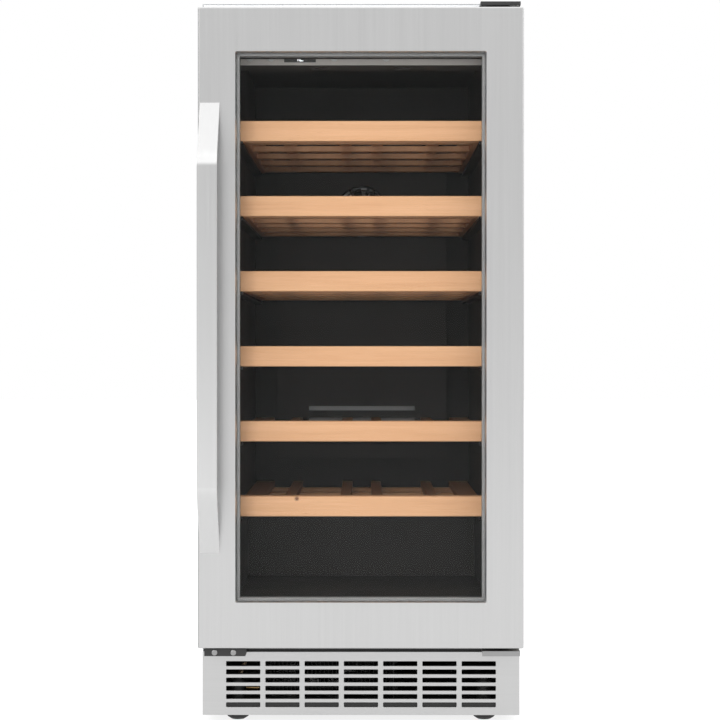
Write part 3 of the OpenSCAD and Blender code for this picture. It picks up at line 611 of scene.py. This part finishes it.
@dataclass
class Studio:
    """The camera, the floor and the soft light."""

    eye: Colour = (0.0063, -2.5163, 0.4415)
    aim: Colour = (-0.001, -0.2639, 0.4316)
    view_degrees: float = 21.1
    floor_size: float = 30.0

    def build(self) -> None:
        """Makes the camera, floor, lights and surroundings."""
        self.camera()
        self.floor()
        self.lights()
        self.surroundings()
        bpy.context.scene.view_settings.view_transform = "Standard"

    def camera(self) -> None:
        """A camera at eye height, level but for a slight tilt down."""
        data = bpy.data.cameras.new("camera")
        data.angle = math.radians(self.view_degrees)
        data.clip_end = 100
        made = bpy.data.objects.new("camera", data)
        made.location = self.eye
        made.rotation_euler = (Vector(self.aim) - Vector(self.eye)).to_track_quat("-Z", "Y").to_euler()
        bpy.context.scene.collection.objects.link(made)
        bpy.context.scene.camera = made

    def floor(self) -> None:
        """A wide pale floor."""
        bpy.ops.object.select_all(action="DESELECT")
        bpy.ops.mesh.primitive_plane_add(size=self.floor_size, location=(0, 0, 0))
        made = bpy.context.object
        made.name = "floor"
        made.data.materials.append(Glow("floor_pale").material())

    def lights(self) -> None:
        """Wide soft boxes over the cooler and round it; the front one leaves no reflection."""
        boxes = [("overhead", (0, -0.6, 2.9), (0, -0.1, 0.4), 3.0, 10.0, True),
                 ("left", (-2.4, -2.2, 1.9), (0, 0, 0.45), 1.8, 20.0, True),
                 ("right", (2.5, -1.6, 1.6), (0, 0, 0.45), 1.8, 12.0, True),
                 ("behind", (0.6, 3.0, 1.8), (0, 0, 0.45), 2.0, 20.0, True),
                 ("front", (-0.5, -3.3, 1.3), (0, -0.2, 0.45), 1.4, 46.0, False)]
        for name, spot, aim, size, power, mirrored in boxes:
            data = bpy.data.lights.new(name, "AREA")
            data.shape, data.size, data.energy = "SQUARE", size, power
            made = bpy.data.objects.new(name, data)
            made.visible_glossy = mirrored
            made.location = spot
            made.rotation_euler = (Vector(aim) - Vector(spot)).to_track_quat("-Z", "Y").to_euler()
            bpy.context.scene.collection.objects.link(made)

    def surroundings(self) -> None:
        """A white room, dimmer level with the door and bright above it; the camera sees plain white."""
        world = bpy.data.worlds.new("studio")
        bpy.context.scene.world = world
        world.use_nodes = True
        tree = world.node_tree
        tree.nodes.clear()
        way = tree.nodes.new("ShaderNodeTexCoord")
        parts = tree.nodes.new("ShaderNodeSeparateXYZ")
        ramp = tree.nodes.new("ShaderNodeValToRGB")
        seen = tree.nodes.new("ShaderNodeLightPath")
        mix = tree.nodes.new("ShaderNodeMix")
        glow = tree.nodes.new("ShaderNodeBackground")
        end = tree.nodes.new("ShaderNodeOutputWorld")
        stops = [(0.0, 1.0), (0.5, 0.95), (0.56, 0.82), (0.64, 0.84),
                 (0.71, 1.7), (0.8, 1.7), (0.91, 1.32), (1.0, 1.1)]
        while len(ramp.color_ramp.elements) < len(stops):
            ramp.color_ramp.elements.new(0.5)
        for element, (spot, tone) in zip(ramp.color_ramp.elements, stops):
            element.position = spot
            element.color = (tone, tone, tone, 1)
        half = tree.nodes.new("ShaderNodeMapRange")
        half.inputs["From Min"].default_value = -1
        mix.data_type = "RGBA"
        mix.inputs[7].default_value = (1, 1, 1, 1)
        for start, finish in ((way.outputs["Generated"], parts.inputs[0]),
                              (parts.outputs["Z"], half.inputs["Value"]),
                              (half.outputs[0], ramp.inputs[0]), (ramp.outputs[0], mix.inputs[6]),
                              (seen.outputs["Is Camera Ray"], mix.inputs[0]),
                              (mix.outputs[2], glow.inputs["Color"]),
                              (glow.outputs[0], end.inputs["Surface"])):
            tree.links.new(start, finish)


@dataclass
class Cabinet:
    """The outer sheets, the liner, the base, the hinges and the grilles."""

    slot_edge: float = 0.9 * MM
    columns: int = 7
    rows: int = 6
    slot_l: float = 40.5 * MM
    slot_h: float = 5.5 * MM
    slot_pitch_x: float = 46.7 * MM
    slot_pitch_z: float = 9.8 * MM
    slot_margin_z: float = 9.5 * MM
    body: str = "cabinet"

    def build(self) -> None:
        """Makes the cabinet's pieces."""
        trim("cabinet_wrap", SHEET, self.body, "painted_sheet", 0.5 * MM)
        trim("back_panel", ZINC, self.body, "galvanised", 0.4 * MM)
        trim("rear_grille", ZINC, self.body, "galvanised", 0.3 * MM, 1, whole=False)
        self.toe_grille()
        self.liner()
        trim("top_hinge_bracket", BARE_STEEL, self.body, "steel_hardware", 0.5 * MM)
        trim("bottom_hinge_bracket", BARE_STEEL, self.body, "steel_hardware", 0.5 * MM)
        trim("top_hinge_cover", BLACK, self.body, "black_plastic", 0.5 * MM, 3)
        trim("door_stop_block", BLACK, self.body, "black_plastic", 0.9 * MM, 3)
        trim("base_pan", BLACK_STEEL, self.body, "black_steel", 0.3 * MM, 1, whole=False)
        dress(ZINC, "machine_deck")
        dress(FOAM, "foam_insulation")
        trim("cabinet_screws", BARE_STEEL, self.body, "steel_hardware", 0.25 * MM, 2, 30)

    def liner(self) -> None:
        """The dark liner, with its front flange painted as the cabinet is."""
        low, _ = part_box("inner_liner")
        made = trim("inner_liner", LINER, self.body, "dark_liner", 0.4 * MM, 1, whole=False)
        made.data.materials.append(FLANGE.material())
        for face in made.data.polygons:
            if face.normal.y < -0.9 and face.center.y < low.y + 0.2 * MM:
                face.material_index = 1

    def toe_grille(self) -> None:
        """The kick plate: a sheet scored along its slots' sides, opened, thickened and softened."""
        low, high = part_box("toe_grille")
        middle = (low + high) / 2
        first_z = low.z + self.slot_margin_z
        xs = [middle.x + (c - (self.columns - 1) / 2) * self.slot_pitch_x for c in range(self.columns)]
        zs = [first_z + r * self.slot_pitch_z for r in range(self.rows)]
        bpy.ops.object.select_all(action="DESELECT")
        bpy.ops.mesh.primitive_plane_add(size=1, location=(middle.x, low.y, middle.z),
                                         rotation=(math.pi / 2, 0, 0))
        made = bpy.context.object
        made.name = made.data.name = "toe_grille_plate"
        made.scale = (high.x - low.x, high.z - low.z, 1)
        Bench.settle(made)
        half_l, half_h = self.slot_l / 2, self.slot_h / 2
        with Bench.editing(made, "FACE"):
            for x in xs:
                for side in (x - half_l, x + half_l):
                    bpy.ops.mesh.select_all(action="SELECT")
                    bpy.ops.mesh.bisect(plane_co=(side, 0, 0), plane_no=(1, 0, 0))
            for z in zs:
                for side in (z, z + self.slot_h):
                    bpy.ops.mesh.select_all(action="SELECT")
                    bpy.ops.mesh.bisect(plane_co=(0, 0, side), plane_no=(0, 0, 1))

            def in_slot(face: bmesh.types.BMFace) -> bool:
                """Whether a face lies in a slot."""
                at = face.calc_center_median()
                return (any(abs(at.x - x) < half_l for x in xs)
                        and any(abs(at.z - z - half_h) < half_h for z in zs))

            Bench.pick(made, "faces", in_slot)
            bpy.ops.mesh.delete(type="FACE")
        Bench.modify(made, "SOLIDIFY", thickness=high.y - low.y, offset=-1)
        with Bench.editing(made):
            Bench.pick(made, "edges", lambda e: all(
                low.x + MM < v.co.x < high.x - MM and low.z + MM < v.co.z < high.z - MM
                for v in e.verts) and abs(e.verts[0].co.y - e.verts[1].co.y) > MM)
            bpy.ops.mesh.bevel(offset=self.slot_edge, segments=3, affect="EDGES")
        Bench.soften(made, self.slot_edge, 3, 50)
        place(made, GRILLE_STEEL, self.body, "stainless", ["toe_grille"])


@dataclass
class Cooling:
    """The machine bay and the evaporator's cover."""

    body: str = "cabinet"

    def build(self) -> None:
        """Makes the cooling parts' pieces."""
        trim("compressor", CAN, self.body, "compressor_black", 1.2 * MM, 3, 20)
        trim("compressor_grommets", RUBBER, self.body, "rubber", 0.8 * MM)
        dress(BLACK_STEEL, "condenser_coil")
        trim("evaporator_plate", ALUMINIUM, self.body, "aluminium", 0.3 * MM, 1)
        trim("evaporator_cover", LINER, self.body, "dark_liner", 0.3 * MM, 1, whole=False)
        trim("condenser_fan_frame", BLACK, self.body, "black_plastic", 0.4 * MM, whole=False)
        trim("evaporator_fan_frame", BLACK, self.body, "black_plastic", 0.4 * MM, whole=False)
        trim("condenser_fan_rotor", BLACK, "condenser_rotor", "black_plastic", 0.3 * MM)
        trim("evaporator_fan_rotor", BLACK, "evaporator_rotor", "black_plastic", 0.3 * MM)
        trim("filter_drier", COPPER, self.body, "copper", 0.8 * MM, 3, 25)
        dress(COPPER, "refrigerant_tubes")
        trim("drip_tray", TRAY, self.body, "white_plastic", 0.6 * MM)
        trim("mains_inlet", RUBBER, self.body, "rubber", 0.8 * MM, 3, 35)


@dataclass
class Controls:
    """The control panel, its buttons, the display and the lamp."""

    body: str = "cabinet"
    digit_h: float = 6.5 * MM
    digit_w: float = 3.6 * MM
    digit_space: float = 2.4 * MM
    bar: float = 0.75 * MM
    cap_radius: float = 4.0 * MM
    panel_wall: float = 2.2 * MM

    def build(self) -> None:
        """Makes the controls' pieces, with painted shade on the panel's underside, which takes the liner's
        dark colour.
        """
        panel = trim("control_panel", PANEL, self.body, "grey_panel", 0.5 * MM, 2, whole=False)
        panel.data.materials.append(LINER.material())
        low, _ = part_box("control_panel")
        # Painted shade: the panel's underside and downward faces take the liner's dark colour.
        for face in panel.data.polygons:
            shaded_underside = face.center.z < low.z + self.panel_wall and face.center.y > low.y + MM
            if shaded_underside or face.normal.z < -0.9:
                face.material_index = 1
        trim("display_window", SCREEN, self.body, "display", 0.3 * MM)
        trim("control_board", BOARD, self.body, "circuit_board", 0.2 * MM, 1)
        trim("led_lens", LENS, self.body, "lens", 0.6 * MM)
        for name in ("power", "light", "up", "down"):
            self.button("button_" + name)
        self.digits((1, 2))

    def button(self, node: str) -> None:
        """A round cap with a soft rim and a shallow dish, on its flange and stem.

        Args:
            node: the button's CAD node.
        """
        low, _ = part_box(node)
        made = Bench.copy_of(node)
        with Bench.editing(made, "FACE"):
            Bench.pick(made, "faces", lambda f: f.calc_center_median().y < low.y + 0.1 * MM)
            bpy.ops.mesh.inset(thickness=self.cap_radius * 0.35, depth=0)
            bpy.ops.mesh.inset(thickness=self.cap_radius * 0.15, depth=-0.3 * MM)
        Bench.soften(made, 0.3 * MM, 3, 40)
        # The cap's glow is painted light, not a lamp.
        place(made, GLOWING_CAP, node, "button_cap", [node])

    def digits(self, values: Sequence[int]) -> None:
        """Lit seven-bar digits on the display.

        Args:
            values: the digits, from the left.
        """
        low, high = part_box("display_window")
        lit = {1: "bc", 2: "abged"}
        pitch = self.digit_w + self.digit_space
        left = (low.x + high.x) / 2 - pitch * len(values) / 2
        front = low.y - 0.06 * MM
        bars = []
        for place_no, value in enumerate(values):
            x0 = left + place_no * pitch
            z0 = (low.z + high.z) / 2 - self.digit_h / 2
            x1, zm, z1 = x0 + self.digit_w, z0 + self.digit_h / 2, z0 + self.digit_h
            b = self.bar / 2
            spans = {"a": (x0, z1, x1, z1), "b": (x1, zm, x1, z1), "c": (x1, z0, x1, zm),
                     "d": (x0, z0, x1, z0), "e": (x0, z0, x0, zm), "f": (x0, zm, x0, z1),
                     "g": (x0, zm, x1, zm)}
            for key in lit[value]:
                xa, za, xb, zb = spans[key]
                bars.append(Bench.block("digit_bar", (xa - b, front, za - b), (xb + b, low.y, zb + b)))
        made = Bench.join(bars)
        made.name = "display_digits"
        with Bench.editing(made, "FACE"):
            Bench.pick(made, "faces", lambda f: f.normal.y < -0.5)
            bpy.ops.mesh.inset(thickness=0.12 * MM, depth=0.02 * MM)
        place(made, DIGIT, self.body, "lens")


@dataclass
class Racks:
    """The six racks, each with its front bar, and the rails that they run on."""

    count: int = 6
    bar_edge: float = 1.5 * MM
    slat_edge: float = 1.0 * MM
    knot_bar: int = 1
    knot_from_left: float = 0.0725
    knot_height: float = 21.5 * MM

    def build(self) -> None:
        """Makes the rails, racks and bars."""
        trim("shelf_rails", BLACK, "cabinet", "black_plastic", 0.5 * MM)
        for number in range(1, self.count + 1):
            bar, rack, body = f"shelf_front_{number}", f"shelf_rack_{number}", f"shelf_{number}"
            finish = BEECH
            if number == self.knot_bar:
                low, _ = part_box(bar)
                spot = low + Vector((self.knot_from_left, 0, self.knot_height))
                finish = Beech("beech_bar_with_knot", knot=spot)
            trim(bar, finish, body, "beech", self.bar_edge, 3)
            trim(rack, BEECH_SLATS, body, "beech", self.slat_edge, 2)


@dataclass
class Door:
    """The door: its steel skin, inner frame, panes, gasket and handle."""

    body: str = "door"
    edge: float = 1.8 * MM
    skin: float = 1.5 * MM
    fold: float = 3.0 * MM
    fold_depth: float = 6.0 * MM
    bevel: float = 2.5 * MM
    corner: float = 0.4 * MM
    side_rail: float = 45.0 * MM
    top_rail: float = 53.0 * MM
    bottom_rail: float = 55.0 * MM
    bush_radius: float = 6.0 * MM
    bend: float = 9.0 * MM

    def build(self) -> None:
        """Makes the door's pieces."""
        self.steel_skin()
        trim("door_inner_frame", BLACK, self.body, "black_plastic", 0.3 * MM, 1, whole=False)
        trim("outer_glass", GLASS, self.body, "glass", 0.4 * MM)
        trim("inner_glass", GLASS, self.body, "glass", 0.4 * MM)
        trim("glass_spacer", SPACER, self.body, "spacer", 0.3 * MM, whole=False)
        self.gasket()
        trim("hinge_bushes", IVORY, self.body, "ivory_plastic", 0.4 * MM)
        trim("handle_screws", BARE_STEEL, self.body, "steel_hardware", 0.25 * MM, 2, 30)
        self.handle()

    def window(self) -> tuple[Vector, Vector]:
        """The window's lower left and upper right corners, at the door's front."""
        low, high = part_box("door_frame")
        return (Vector((low.x + self.side_rail, low.y, low.z + self.bottom_rail)),
                Vector((high.x - self.side_rail, low.y, high.z - self.top_rail)))

    def window_cutter(self, depth: float) -> Thing:
        """A cutter for the window, flared at the front with round corners.

        Args:
            depth: how far it reaches behind the flare.

        Returns:
            The cutter.
        """
        low, high = self.window()
        middle = (low + high) / 2
        wide, tall = high.x - low.x + 2 * self.bevel, high.z - low.z + 2 * self.bevel
        bpy.ops.object.select_all(action="DESELECT")
        bpy.ops.mesh.primitive_plane_add(size=1, location=middle, rotation=(math.pi / 2, 0, 0))
        made = bpy.context.object
        made.scale = (wide, tall, 1)
        Bench.settle(made)
        with Bench.editing(made, "FACE"):
            bpy.ops.mesh.select_all(action="SELECT")
            bpy.ops.mesh.bevel(offset=self.bevel + self.corner, segments=6, affect="VERTICES")
            bpy.ops.mesh.select_all(action="SELECT")
            bpy.ops.mesh.inset(thickness=self.bevel * 0.45, depth=-self.bevel * 0.2)
            bpy.ops.mesh.inset(thickness=self.bevel * 0.55, depth=-self.bevel * 0.8)
            bpy.ops.mesh.extrude_region_move(TRANSFORM_OT_translate={"value": (0, depth, 0)})
            Bench.pick(made, "edges", lambda e: e.is_boundary)
            bpy.ops.mesh.extrude_region_move(TRANSFORM_OT_translate={"value": (0, -5 * MM, 0)})
            bpy.ops.mesh.edge_face_add()
            bpy.ops.mesh.select_all(action="SELECT")
            bpy.ops.mesh.normals_make_consistent(inside=False)
        return made

    def steel_skin(self) -> None:
        """The folded steel skin, with soft outer edges, painted shade on the handle's side, and a flared
        window.
        """
        low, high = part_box("door_frame")
        window_low, window_high = self.window()
        made = Bench.block("door_skin", low, high)
        back = high.y - 0.5 * MM
        with Bench.editing(made):
            Bench.pick(made, "edges", lambda e: min(v.co.y for v in e.verts) < back)
            bpy.ops.mesh.bevel(offset=self.edge, segments=4, affect="EDGES")
        inside = Bench.block("inside", low + Vector((self.skin,) * 3),
                             high + Vector((-self.skin, 5 * MM, -self.skin)))
        collar = Bench.block(
            "collar", window_low + Vector((-self.fold, 0, -self.fold)),
            window_high + Vector((self.fold, self.fold_depth, self.fold)))
        Bench.carve(inside, collar)
        Bench.carve(made, inside)
        Bench.carve(made, self.window_cutter(self.fold_depth))
        for end in (low.z, high.z):
            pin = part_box("hinge_bushes")
            x, y = (pin[0].x + pin[1].x) / 2, (pin[0].y + pin[1].y) / 2
            Bench.carve(made, Bench.disc("hole", (x, y, end), self.bush_radius, 6 * MM))
        place(made, STAINLESS, self.body, "stainless", ["door_frame"])
        # Painted shade: the rounded edge on the handle's side takes the darker steel.
        made.data.materials.append(SHADED_EDGE_STEEL.material())
        for face in made.data.polygons:
            if face.normal.x < -0.25 and face.normal.y < -0.1 and face.center.x < low.x + self.edge:
                face.material_index = 1

    def gasket(self) -> None:
        """The gasket, with a soft magnet tube and a groove round its face."""
        made = Bench.copy_of("door_gasket", whole=False)
        _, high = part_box("door_gasket")
        with Bench.editing(made, "FACE"):
            Bench.pick(made, "faces", lambda f: (
                f.normal.y > 0.9 and f.calc_center_median().y > high.y - 0.1 * MM))
            bpy.ops.mesh.inset(thickness=3.2 * MM, depth=0)
            bpy.ops.mesh.inset(thickness=0.7 * MM, depth=-1.6 * MM)
            bpy.ops.mesh.inset(thickness=0.7 * MM, depth=1.5 * MM)
        Bench.soften(made, 0.45 * MM, 2, 40)
        place(made, GASKET, self.body, "gasket", ["door_gasket"])

    def handle(self) -> None:
        """The handle: a flat bar that leaves the door in a slope at each end."""
        made = Bench.copy_of("handle")
        low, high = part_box("handle")
        with Bench.editing(made):
            Bench.pick(made, "edges", lambda e: self.is_bend(e, low, high, outer=True))
            bpy.ops.mesh.bevel(offset=self.bend, segments=1, affect="EDGES")
            Bench.pick(made, "edges", lambda e: self.is_bend(e, low, high, outer=False))
            bpy.ops.mesh.bevel(offset=self.bend * 0.7, segments=1, affect="EDGES")
        Bench.soften(made, 1.3 * MM, 4, 30)
        place(made, HANDLE_STEEL, self.body, "stainless", ["handle"])

    @staticmethod
    def is_bend(edge: bmesh.types.BMEdge, low: Vector, high: Vector, outer: bool) -> bool:
        """Whether an edge runs across the handle at a bend.

        Args:
            edge: the edge.
            low: the handle's lowest corner.
            high: its highest corner.
            outer: the bends at the front, or those at the back of the grip.

        Returns:
            True for such an edge.
        """
        a, b = (v.co for v in edge.verts)
        across = abs(a.x - b.x) > 0.9 * (high.x - low.x)
        depth = (a.y + b.y) / 2 - low.y
        inset = min(a.z - low.z, high.z - a.z) > 30 * MM
        return across and inset and (depth < 1 * MM if outer else 1 * MM < depth < 15 * MM)


@dataclass
class Feet:
    """The four levelling feet."""

    names: tuple[str, ...] = ("front_left", "front_right", "rear_left", "rear_right")

    def build(self) -> None:
        """Makes a foot for each corner."""
        for name in self.names:
            node = "foot_" + name
            made = Bench.copy_of(node)
            Bench.soften(made, 1.2 * MM, 4, 12)
            place(made, RUBBER, node, "rubber", [node])


def main() -> None:
    """Builds the whole scene."""
    logging.basicConfig(level=logging.INFO, format="%(name)s: %(message)s")
    for part in (Studio(), Cabinet(), Cooling(), Controls(), Racks(), Door(), Feet()):
        log.info("building %s", type(part).__name__)
        part.build()


if __name__ == "__main__":
    main()
